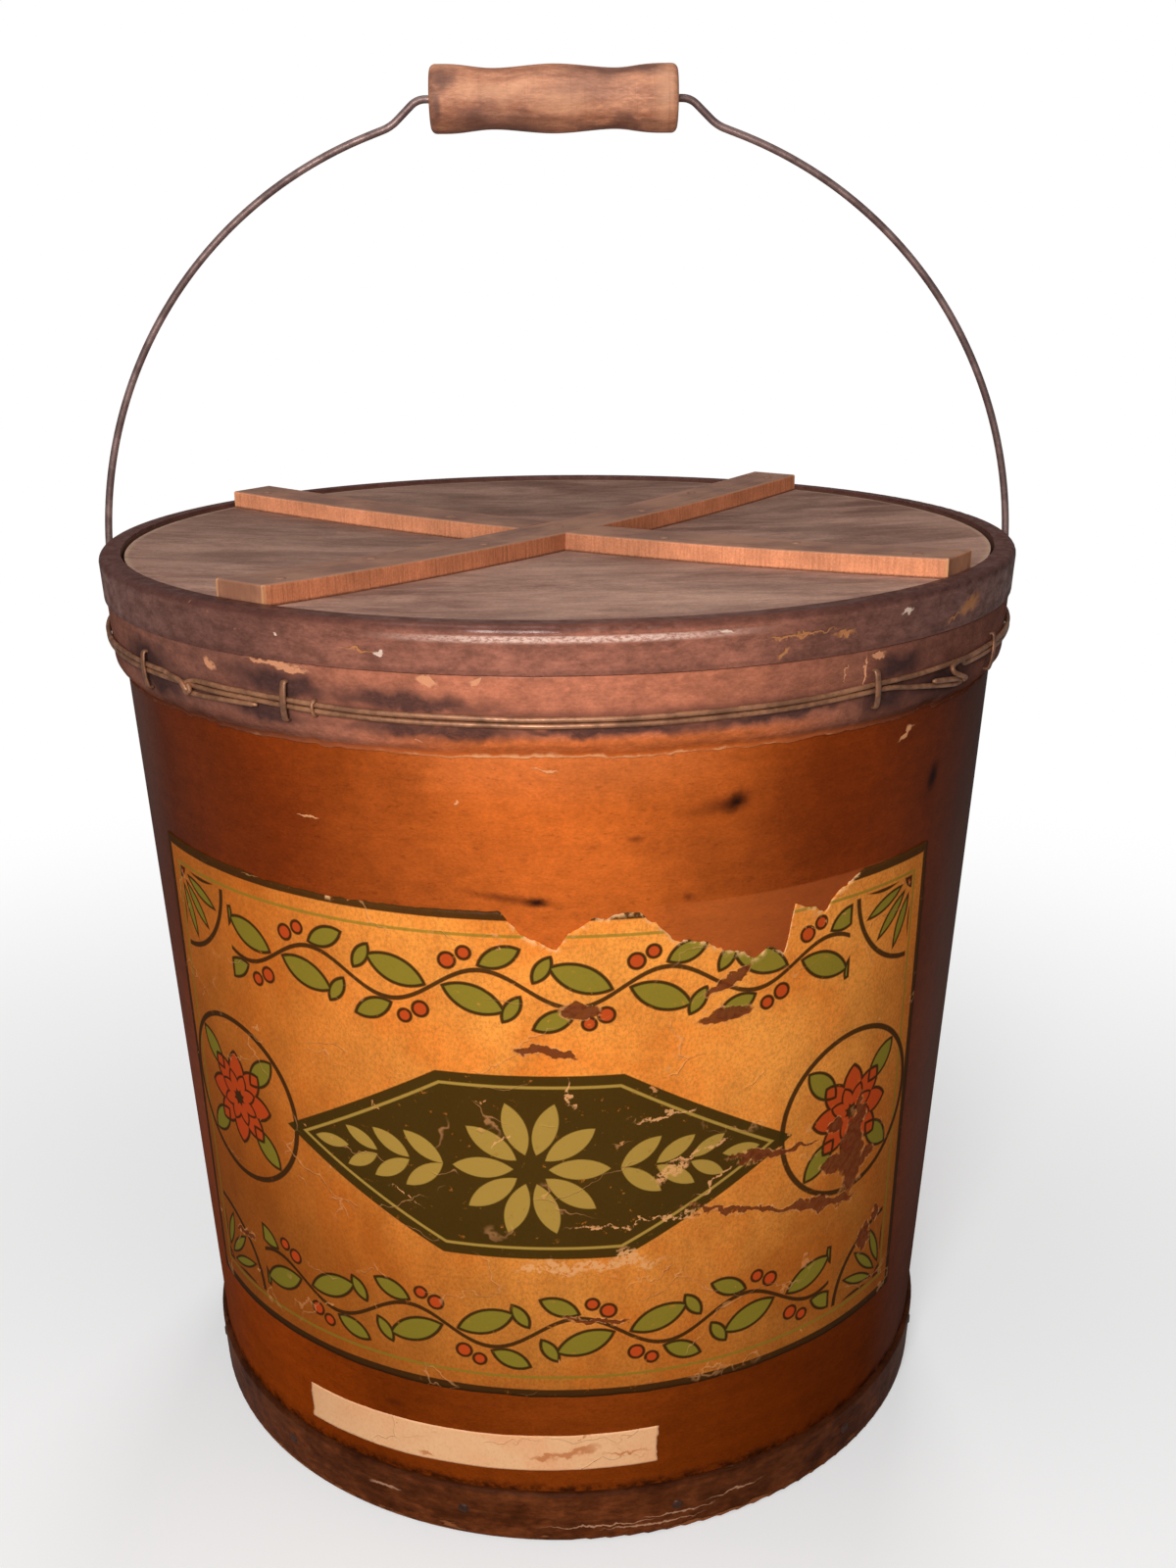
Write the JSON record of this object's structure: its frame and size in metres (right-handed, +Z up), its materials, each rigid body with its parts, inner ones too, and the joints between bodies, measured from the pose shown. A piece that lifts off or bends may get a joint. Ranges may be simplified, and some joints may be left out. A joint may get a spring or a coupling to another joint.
{
  "type": "lidded bent-wood pail",
  "caption": "Tapering bent-wood pail with a drop-in lid crossed by battens, a hooped rim, a wire bail with a turned wooden grip, and a paper label.",
  "frame": {"origin": "on the floor, at the middle of the pail's foot", "axes": "+Z up through the middle of the pail, -Y towards the front with the label, +X to the right seen from the front, along the bail's axis"},
  "size_m": [0.3252, 0.3186, 0.4743],
  "materials": {
    "varnished_wood": "glossy aged orange-brown varnish",
    "bare_wood": "bare, aged",
    "dark_hoop_wood": "dark brown stain, worn at the edges",
    "top_hoop_wood": "bare, light",
    "binding": "dark brown, varnished",
    "varnished_tape": "pinkish brown, varnished, flaking",
    "hoop_wire": "tarnished olive brown",
    "nail_steel": "rusted dark",
    "label_paper": "aged printed paper, varnished over",
    "plain_paper": "cream, aged",
    "iron_wire": "brown iron, dull",
    "turned_wood": "hand-worn, stained",
    "lid_wood": "dusty grey-brown",
    "batten_wood": "sawn, tops dusty"
  },
  "bodies": {
    "pail": {"body_wall": "varnished_wood", "bottom_board": "bare_wood", "bottom_hoop": "dark_hoop_wood", "bottom_nails": "nail_steel", "seam_tacks": "nail_steel", "top_hoop": "top_hoop_wood", "lid_ledge": "bare_wood", "ledge_tacks": "nail_steel", "rim_binding": "binding", "hoop_tape": "varnished_tape", "hoop_wire_upper": "hoop_wire", "hoop_wire_lower": "hoop_wire", "wire_staples": "hoop_wire", "label_sheet": "label_paper", "paper_strip": "plain_paper"},
    "bail": {"bail_wire": "iron_wire", "bail_washers": "iron_wire"},
    "grip": {"handle_grip": "turned_wood"},
    "lid": {"lid_board": "lid_wood", "lid_batten_over": "batten_wood", "lid_batten_under": "batten_wood", "batten_nails": "nail_steel"}
  },
  "joints": [
    {"name": "bail_hinge", "type": "hinge", "parent": "pail", "child": "bail", "pos_m": [0, 0, 0.2982], "axis": [1, 0, 0], "range_deg": [-78.7, 78.7]},
    {"name": "grip_spin", "type": "hinge", "parent": "bail", "child": "grip", "pos_m": [0, 0, 0.46352], "axis": [1, 0, 0], "continuous": true},
    {"name": "lid_slide", "type": "slide", "parent": "pail", "child": "lid", "axis": [0, 0, 1], "range_m": [0, 0.026]}
  ]
}
